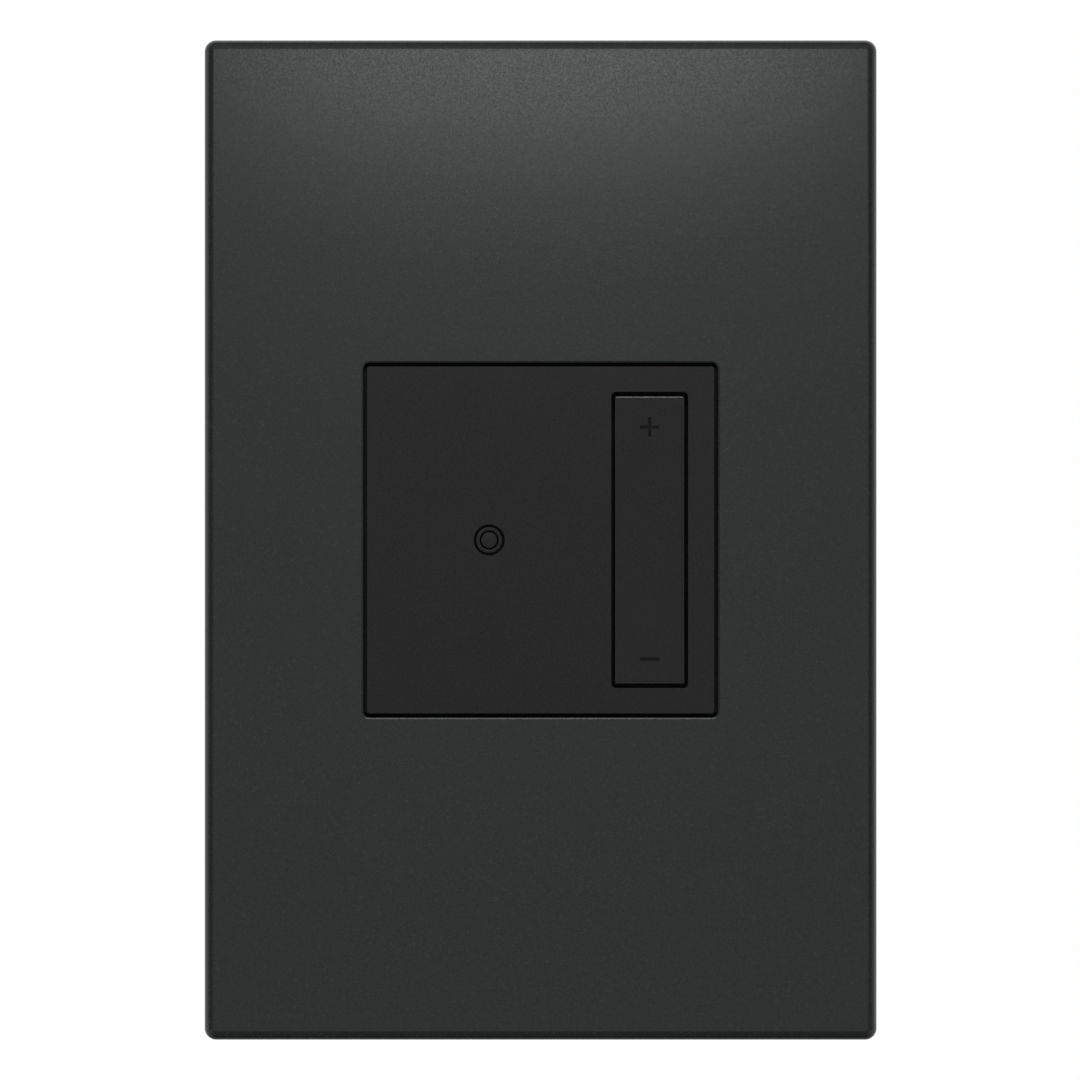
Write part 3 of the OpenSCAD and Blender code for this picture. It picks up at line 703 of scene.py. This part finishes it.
def make_rocker():
    """A bar with a dished front, engraved marks, and a knuckle and two feet behind."""
    edge, corner, corner_r = eased(0.05, 4, 0.1, 9), 5, 0.22
    dish, dish_half = 0.35, BAR_HH - 0.3
    dish_r = (dish_half**2 + dish**2) / (2 * dish)
    back_y, back_ease = FRONT_Y + 2.5, 0.1

    def front_at(z):
        """Depth of the dished face at a height."""
        if abs(z) >= dish_half:
            return FRONT_Y
        return FRONT_Y + dish - dish_r + math.sqrt(dish_r**2 - z**2)

    def around(inset, r):
        """A flat ring round the bar, with points all the way up its long sides."""
        hh, rows = BAR_HH - inset, 30
        ring = box_ring(BAR_HW - inset, hh, r, 0, BAR_X, 0, corner)
        full = []
        for (x, _, z), (_, _, next_z) in zip(ring, ring[1:] + ring[:1]):
            full.append((x, z))
            if abs(z - next_z) > hh:
                full += [(x, z + (next_z - z) * k / rows) for k in range(1, rows)]
        return full

    shell = Shell()
    rings = [
        [(x, front_at(z) + drop, z) for x, z in around(inset, max(corner_r - inset, 0.03))]
        for inset, drop in reversed(edge)
    ]
    rings.append([(x, back_y - back_ease, z) for x, z in around(0, corner_r)])
    rings.append([(x, back_y, z) for x, z in around(back_ease, 0.2)])
    front, back = shell.skin(rings)
    holes, floors = [], []
    for outline in (
        plus_outline(BAR_X, PLUS_Z, MARK_LEN, MARK_W),
        minus_outline(BAR_X, MINUS_Z, MARK_LEN, MARK_W),
    ):
        sunk = [[(x, front_at(z) + deep, z) for x, z in outline] for deep in (0, MARK_DEEP)]
        top, floor = shell.skin(sunk)
        floors.append(sum((Vector(shell.points[i]) for i in floor), Vector()) / len(floor))
        shell.fill(floor)
        holes.append(top)
    # A net of points that the dished front is filled through, clear of the marks
    net, net_x, net_z = [], 1.2, 0.5
    for row in range(-36, 37):
        for column in range(-3, 4):
            x, z = BAR_X + column * net_x, row * net_z
            near_mark = min(abs(z - PLUS_Z), abs(z - MINUS_Z)) < MARK_LEN / 2 + 0.15
            if not (near_mark and abs(column) < 2):
                net.append((x, front_at(z), z))
    shell.fill(front, holes, shell.add(net))
    shell.fill(back)
    piece = add_object("rocker_bar", shell.mesh("rocker_bar"))
    root_y = back_y - 0.2
    ends = (BAR_X - 2, BAR_X + 2)
    hub = knuckle(ends, axis_y=-4.9, axis_z=0.0, r=1.6, bore_r=1.05, root_y=root_y)
    combine(piece, hub, "UNION")
    for z in (-ROCKER_FOOT_Z, ROCKER_FOOT_Z):
        add_foot(piece, BAR_X, z, root_y)
    finish_piece(piece, "rocker", "face_moulding", "dimmer_rocker")
    polish_shoulders(piece, (6, 20), FACE_HW, face_moulding("face_polished", 0.17, 0.8))

    def on_floor(face, middle):
        """True on the floor of a mark."""
        gaps = [[abs(a) for a in middle - floor] for floor in floors]
        level = face.normal.y < -0.9
        return level and any(x < MARK_LEN / 2 and y < 0.03 and z < 1.3 for x, y, z in gaps)

    finish_faces(piece, mark_floor(), on_floor)


# ---- Locator light ----


def make_light():
    """The ring, with a flange behind it, and the lens inside it."""
    ring_r, bore_r, lens_r, edge = 1.68, 1.23, 1.03, eased(0.05, 4)
    flange_r, flange_t, flange_ease = 2.8, 1, 0.1
    back, at = span("indicator_ring")[1].y, (LIGHT_X, 0, 0)
    profile = [(bore_r, back)]
    profile += [(bore_r + inset, FRONT_Y + drop) for inset, drop in edge]
    profile += [(ring_r - inset, FRONT_Y + drop) for inset, drop in reversed(edge)]
    profile += [(ring_r, back - flange_t), (flange_r - flange_ease, back - flange_t)]
    profile += [(flange_r, back - flange_t + flange_ease), (flange_r, back)]
    ring = add_object("locator_ring", lathe(profile, "y", at, 96).mesh("locator_ring"))
    finish_piece(ring, "device", "light_ring", "indicator_ring")
    profile = [(0, FRONT_Y)]
    profile += [(lens_r - inset, FRONT_Y + drop) for inset, drop in reversed(edge)]
    profile += [(lens_r, LENS_HI.y - 0.1), (lens_r - 0.1, LENS_HI.y), (0, LENS_HI.y)]
    lens = add_object("locator_lens", lathe(profile, "y", at, 96).mesh("locator_lens"))
    finish_piece(lens, "device", "light_lens", "indicator_lens")


make_wall_plate()
make_tap_face()
make_rocker()
make_light()

# ---- Box screws ----


def thread(r, root_r, pitch, start, end, count=28):
    """A right-hand thread along Y, from a start to an end, closed at both ends. Each column of
    points climbs with the helix, so that the crest is one clean line."""
    shell = Shell()
    steps = ((0.0, root_r), (0.06, root_r), (0.47, r), (0.57, r))
    per_turn = len(steps)
    rows = int((end - start) / pitch) * per_turn
    fade = 1.2 * pitch
    columns = []
    for j in range(count):
        a = 2 * math.pi * j / count
        column = []
        for k in range(rows - per_turn + 1):
            share, level = steps[k % per_turn]
            y = start + pitch * (k // per_turn + share + j / count)
            kept = min(1, (y - start) / fade, (end - y) / fade)
            at_r = root_r + (level - root_r) * max(kept, 0)
            column.append((at_r * math.sin(a), y, at_r * math.cos(a)))
        columns.append(shell.add(column))
    last = rows - per_turn
    for j in range(count - 1):
        for k in range(last):
            shell.faces.append(
                (columns[j][k], columns[j + 1][k], columns[j + 1][k + 1], columns[j][k + 1])
            )
    # The last column meets the first one a turn further on
    for k in range(last - per_turn):
        up = k + per_turn
        shell.faces.append((columns[-1][k], columns[0][up], columns[0][up + 1], columns[-1][k + 1]))
    near = [c[0] for c in columns] + [columns[0][k] for k in range(per_turn, 0, -1)]
    far = [c[last] for c in columns][::-1] + [columns[-1][last - k] for k in range(1, per_turn + 1)]
    near_tip = shell.add([(0, start, 0)])[0]
    far_tip = shell.add([(0, end, 0)])[0]
    for ring, tip in ((near, near_tip), (far, far_tip)):
        for i, point in enumerate(ring):
            shell.faces.append((point, ring[(i + 1) % len(ring)], tip))
    return shell.mesh("thread")


def make_box_screws():
    """Two slotted oval-head screws with a 6-32 thread."""
    lo, hi = span("box_screws")
    head_r, neck_r, thread_r, root_r, pitch = 3.45, 1.45, 1.75, 1.36, 0.794
    head_y, under_y = lo.y, lo.y + 2.0
    neck_end, from_middle = 0.4, 41.67
    meshes = []
    for z in (-from_middle, from_middle):
        profile = [(0, head_y), (1.4, head_y + 0.02), (2.4, head_y + 0.12), (3.0, head_y + 0.36)]
        profile += [(3.33, head_y + 0.8), (head_r, head_y + 1.3), (head_r, under_y - 0.1)]
        profile += [(head_r - 0.1, under_y), (neck_r, under_y), (neck_r, neck_end)]
        profile += [(root_r, neck_end + 0.1), (root_r, neck_end + 0.9), (0, neck_end + 0.9)]
        screw = add_object("screw", lathe(profile, "y", (0, 0, 0), 48).mesh("screw"))
        slot_cut = block((-2.7, 2.7), (head_y - 1, head_y + 0.9), (-0.55, 0.55), 0)
        combine(screw, slot_cut, "DIFFERENCE")
        turned = thread(thread_r, root_r, pitch, neck_end + 0.2, hi.y)
        whole = join([screw.data, turned], "box_screw")
        bpy.data.objects.remove(screw)
        whole.transform(Matrix.Translation((0, 0, z * MM)))
        meshes.append(whole)
    piece = add_object("box_screw_pair", join(meshes, "box_screw_pair"))
    finish_piece(piece, "device", "zinc_steel", "box_screws")


make_box_screws()

# ---- Springs under the buttons ----


def coil(at, mean_r, wire_r, turns, y, per_turn=32, around=10):
    """A compression spring along Y, with its end turns closed up flat."""
    shell = Shell()
    total = int(turns * per_turn)
    low, high = y[0] + wire_r, y[1] - wire_r
    closed = 0.75 / turns
    rings = []
    for i in range(total + 1):
        t = i / total
        a = 2 * math.pi * turns * t
        rise = min(max((t - closed / 2) / (1 - closed), 0), 1)
        centre = Vector((mean_r * math.cos(a), low + (high - low) * rise, mean_r * math.sin(a)))
        outward = Vector((math.cos(a), 0, math.sin(a)))
        ring = []
        for k in range(around):
            b = 2 * math.pi * k / around
            offset = outward * (wire_r * math.cos(b)) + Vector((0, wire_r * math.sin(b), 0))
            ring.append(centre + offset + Vector((at[0], 0, at[1])))
        rings.append(ring)
    first, last = shell.skin(rings)
    shell.faces += [tuple(first), tuple(last)]
    return shell.mesh("coil")


for name, at, button in (
    ("tap_coil", (LIGHT_X, TAP_FOOT_Z), "tap_button"),
    ("raise_coil", (BAR_X, ROCKER_FOOT_Z), "raise_button"),
    ("lower_coil", (BAR_X, -ROCKER_FOOT_Z), "lower_button"),
):
    node = name.replace("coil", "spring")
    lo, hi = span(node)
    piece = add_object(name, coil(at, 1.6, 0.17, 3.5, (lo.y, hi.y)))
    piece.data.shade_smooth()
    piece.data.materials.append(FINISHES["spring_steel"])
    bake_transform(piece)
    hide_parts(node)

# ---- The choke's turns of wire, the can capacitor and the fuse ----


def wound_turns(at, y, core_r, wire_r, turns, sweep, per_turn=28, around=8):
    """Wire wound round a flat ring core, turn beside turn, over a sweep of degrees."""
    shell = Shell()
    clear = 0.05
    middle_r, middle_y = sum(core_r) / 2, sum(y) / 2
    half_r = (core_r[1] - core_r[0]) / 2 + wire_r + clear
    half_y = (y[1] - y[0]) / 2 + wire_r + clear

    def path(t):
        """The wire's middle after so many turns: a square loop with round corners."""
        a = 2 * math.pi * t
        out, up = (math.copysign(abs(v) ** 0.4, v) for v in (math.cos(a), math.sin(a)))
        r, b = middle_r + half_r * out, math.radians(sweep) * t / turns
        return Vector((at[0] + r * math.cos(b), middle_y + half_y * up, at[1] - r * math.sin(b)))

    section = [2 * math.pi * k / around for k in range(around)]
    rings = []
    for i in range(turns * per_turn + 1):
        t = i / per_turn
        centre = path(t)
        ahead = (path(t + 0.01) - path(t - 0.01)).normalized()
        b = math.radians(sweep) * t / turns
        along_core = Vector((-math.sin(b), 0, -math.cos(b)))
        across = (along_core - ahead * along_core.dot(ahead)).normalized()
        up = ahead.cross(across)
        rings.append(
            [centre + across * wire_r * math.cos(c) + up * wire_r * math.sin(c) for c in section]
        )
    first, last = shell.skin(rings)
    shell.faces += [tuple(first), tuple(last)]
    return shell.mesh("turns")


def make_choke_turns():
    """The choke's enamelled wire, which leaves a gap between its first and last turns."""
    lo, hi = span("choke_core")
    middle = (lo + hi) / 2
    at, y, core_r = (middle.x, middle.z), (lo.y, hi.y), (5, 9)
    turns = add_object("choke_turns", wound_turns(at, y, core_r, 0.44, 25, 325))
    finish_piece(turns, "device", "copper_enamel", "choke_winding")


def make_supply_can():
    """A can capacitor in a sleeve, with a crimp near its foot and a bare metal top."""
    lo, hi = span("supply_capacitor")
    r, low, high = (hi.x - lo.x) / 2, lo.y, hi.y
    profile = [(0, low), (r - 0.6, low), (r - 0.3, low + 0.15), (r - 0.3, low + 0.9)]
    profile += [(r, low + 1.3), (r, low + 1.9), (r - 0.28, low + 2.2), (r - 0.28, low + 2.6)]
    profile += [(r, low + 2.9), (r, high - 0.5), (r - 0.15, high - 0.15), (r - 0.5, high)]
    profile += [(r - 0.8, high), (r - 0.95, high - 0.15), (0, high - 0.15)]
    at = ((lo.x + hi.x) / 2, 0, (lo.z + hi.z) / 2)
    can = add_object("supply_can", lathe(profile, "y", at).mesh("supply_can"))
    finish_piece(can, "device", "capacitor_sleeve", "supply_capacitor")
    finish_faces(can, FINISHES["sink_aluminium"], lambda face, middle: face.normal.y > 0.9)


def make_fuse():
    """A ceramic tube fuse between two metal caps."""
    lo, hi = span("fuse")
    r, length, cap = (hi.x - lo.x) / 2, hi.z - lo.z, 3.0
    half = [(0, 0), (r - 0.2, 0), (r, 0.2), (r, cap - 0.2), (r - 0.15, cap), (r - 0.3, cap + 0.05)]
    profile = half + [(across, length - along) for across, along in reversed(half)]
    at = ((lo.x + hi.x) / 2, (lo.y + hi.y) / 2, lo.z)
    fuse = add_object("capped_fuse", lathe(profile, "z", at, 48).mesh("capped_fuse"))
    finish_piece(fuse, "device", "fuse_ceramic", "fuse")

    def on_cap(face, middle):
        return min(middle.z - lo.z, hi.z - middle.z) < cap + 0.04

    finish_faces(fuse, FINISHES["zinc_steel"], on_cap)


make_choke_turns()
make_supply_can()
make_fuse()

# ---- CAD nodes that keep their own shape, with their edges eased ----

EASED = {
    "mounting_frame": 0.22,
    "front_carrier": 0.15,
    "rear_housing": 0.4,
    "heat_sink": 0.15,
    "housing_screws": 0.15,
    "terminal_screws": 0.2,
    "terminal_clamps": 0.15,
    "terminal_plates": 0.1,
    "ground_screw": 0.15,
    "control_board": 0.1,
    "power_board": 0.1,
    "tap_switch": 0.1,
    "raise_switch": 0.1,
    "lower_switch": 0.1,
    "filter_capacitor": 0.3,
    "triac": 0.12,
    "microcontroller": 0.1,
    "board_connector": 0.12,
    "surge_varistor": 0.3,
    "choke_core": 0.3,
}


def ease_edges(node, width):
    """Rounds a CAD node's sharp edges with modifiers, which leave its own mesh alone."""
    weld = node.modifiers.new("weld", "WELD")
    weld.merge_threshold = 1e-6
    plain = node.modifiers.new("flat_faces", "DECIMATE")
    plain.decimate_type = "DISSOLVE"
    plain.angle_limit = math.radians(0.5)
    bevel = node.modifiers.new("eased_edges", "BEVEL")
    bevel.width = width * MM
    bevel.segments = 2
    bevel.limit_method = "ANGLE"
    bevel.angle_limit = math.radians(40)
    bevel.harden_normals = False
    flatten_shading(node)


for entry in frame["record"]["subparts"]:
    name = entry["node"]
    node = frame["nodes"][name]
    if node.hide_render:
        continue
    node.data.materials.clear()
    node.data.materials.append(FINISHES[entry["material_slot"]])
    if name in EASED:
        ease_edges(node, EASED[name])

# ---- Studio ----


def make_floor():
    """A plain pale floor, well below the object."""
    side, near, far, depth = 4.0, -4.0, 1.4, -0.26
    mesh = bpy.data.meshes.new("floor")
    corners = [(-side, near, depth), (side, near, depth), (side, far, depth), (-side, far, depth)]
    mesh.from_pydata(corners, [], [(0, 1, 2, 3)])
    floor = add_object("floor", mesh)
    f = Finish("floor_paint", grey(236), 0.85)
    f.vary_colour(f.ranged(f.noise(40, 2, 0.5), 0.4, 0.6, 0, 0.3), grey(242))
    f.bump(f.noise(3, 2, 0.5), 0.02)
    f.set(Emission_Color=(1, 1, 1, 1), Emission_Strength=0.35)
    floor.data.materials.append(f.material)
    floor.visible_glossy = False
    floor.visible_diffuse = False


# What the studio shows at each angle from the front axis, towards the sides, above and below
SIDE_LIGHT = {0: 0.7, 8: 0.6, 17: 0.38, 29: 0.1, 40: 0.02, 53: 0.03, 66: 0.3, 80: 0.62, 97: 1.0}
SIDE_LIGHT |= {115: 1.0, 144: 0.8, 180: 0.8}
UP_LIGHT = {0: 0.7, 6: 0.62, 17: 0.5, 29: 0.5, 41: 0.6, 53: 0.5, 67: 0.25, 81: 0.19, 97: 0.45}
UP_LIGHT |= {116: 1.2, 144: 1.1, 180: 0.8}
DOWN_LIGHT = {0: 0.7, 5: 0.68, 10: 0.45, 17: 0.22, 29: 0.15, 41: 0.12, 67: 0.1, 97: 0.06}
DOWN_LIGHT |= {116: 0.4, 144: 0.4, 180: 0.8}
SHEEN_AT, SHEEN_LEVEL, SHEEN_POWER = (0.64, -0.64, -0.42), 0.7, 24
# A colour ramp holds no more than 1, so the levels are halved and the background is doubled
WORLD_GAIN = 2


def make_world():
    """White behind the object, a broad soft panel in front of it and darker flags at its sides."""
    world = bpy.data.worlds.new("studio")
    bpy.context.scene.world = world
    world.use_nodes = True
    nodes, links = world.node_tree.nodes, world.node_tree.links
    nodes.clear()

    def maths(operation, a, b=0.0, c=0.0):
        node = nodes.new("ShaderNodeMath")
        node.operation = operation
        for socket, value in zip(node.inputs, (a, b, c)):
            if isinstance(value, (int, float)):
                socket.default_value = value
            else:
                links.new(value, socket)
        return node.outputs["Value"]

    def curve(angle, stops):
        """A level for each angle, straight from stop to stop."""
        ramp = nodes.new("ShaderNodeValToRGB")
        elements = ramp.color_ramp.elements
        while len(elements) < len(stops):
            elements.new(0.5)
        for element, (at, level) in zip(elements, sorted(stops.items())):
            element.position = at / 180
            element.color = (level / WORLD_GAIN,) * 3 + (1,)
        links.new(angle, ramp.inputs["Fac"])
        return ramp.outputs["Color"]

    split = nodes.new("ShaderNodeSeparateXYZ")
    links.new(nodes.new("ShaderNodeTexCoord").outputs["Generated"], split.inputs["Vector"])
    y, z = split.outputs["Y"], split.outputs["Z"]
    angle = maths("DIVIDE", maths("ARCCOSINE", maths("MULTIPLY", y, -1)), math.pi)
    spread = maths("MAXIMUM", maths("SUBTRACT", 1, maths("MULTIPLY", y, y)), 1e-6)
    upright = maths("DIVIDE", maths("MULTIPLY", z, z), spread)
    above = maths("MULTIPLY", upright, maths("GREATER_THAN", z, 0))
    below = maths("MULTIPLY", upright, maths("LESS_THAN", z, 0))
    level = curve(angle, SIDE_LIGHT)
    for fac, stops in ((above, UP_LIGHT), (below, DOWN_LIGHT)):
        mix = nodes.new("ShaderNodeMix")
        links.new(fac, mix.inputs["Factor"])
        links.new(level, mix.inputs["A"])
        links.new(curve(angle, stops), mix.inputs["B"])
        level = mix.outputs["Result"]
    # Two soft panels low in front, left and right, for the views from the sides
    aside = maths("MULTIPLY", maths("ABSOLUTE", split.outputs["X"]), SHEEN_AT[0])
    aim = maths("ADD", aside, maths("MULTIPLY", y, SHEEN_AT[1]))
    aim = maths("ADD", aim, maths("MULTIPLY", z, SHEEN_AT[2]))
    lobe = maths("POWER", maths("MAXIMUM", aim, 0), SHEEN_POWER)
    sheen = maths("MULTIPLY", lobe, SHEEN_LEVEL / WORLD_GAIN)
    add = nodes.new("ShaderNodeVectorMath")
    links.new(level, add.inputs[0])
    links.new(sheen, add.inputs[1])
    level = add.outputs["Vector"]
    lit = nodes.new("ShaderNodeBackground")
    lit.inputs["Strength"].default_value = WORLD_GAIN
    links.new(level, lit.inputs["Color"])
    seen = nodes.new("ShaderNodeBackground")
    seen.inputs["Color"].default_value = (1, 1, 1, 1)
    path = nodes.new("ShaderNodeLightPath")
    mix = nodes.new("ShaderNodeMixShader")
    links.new(path.outputs["Is Camera Ray"], mix.inputs["Fac"])
    links.new(lit.outputs["Background"], mix.inputs[1])
    links.new(seen.outputs["Background"], mix.inputs[2])
    out = nodes.new("ShaderNodeOutputWorld")
    links.new(mix.outputs["Shader"], out.inputs["Surface"])


def add_panel(name, place, width, height, power):
    """A soft oval light that faces the wall."""
    data = bpy.data.lights.new(name, "AREA")
    data.shape = "ELLIPSE"
    data.size, data.size_y = width, height
    data.energy = power
    lamp = bpy.data.objects.new(name, data)
    bpy.context.scene.collection.objects.link(lamp)
    lamp.location = place
    lamp.rotation_euler = (math.radians(90), 0, 0)
    lamp.visible_camera = False


# The picture's width at the plate's front and how far its middle is off, in metres, and the lens
FRAME_W, FRAME_X = 0.1406, -0.00008
LENS_MM, SENSOR_MM = 200, 36


def make_camera():
    """A long lens square on to the plate's front."""
    data = bpy.data.cameras.new("camera")
    data.lens, data.sensor_width = LENS_MM, SENSOR_MM
    data.clip_start, data.clip_end = 0.05, 20
    camera = bpy.data.objects.new("camera", data)
    bpy.context.scene.collection.objects.link(camera)
    distance = FRAME_W * LENS_MM / SENSOR_MM
    camera.location = (FRAME_X, FRONT_Y * MM - distance, 0)
    camera.rotation_euler = (math.radians(90), 0, 0)
    bpy.context.scene.camera = camera


make_floor()
make_world()
glow_place = (0, FRONT_Y * MM - 0.2, 0.0826)
add_panel("top_glow", glow_place, width=0.114, height=0.027, power=0.0288)
make_camera()

scene = bpy.context.scene
scene.view_settings.view_transform = "Standard"
scene.view_settings.look = "None"
scene.view_settings.exposure = 0
scene.view_settings.gamma = 1
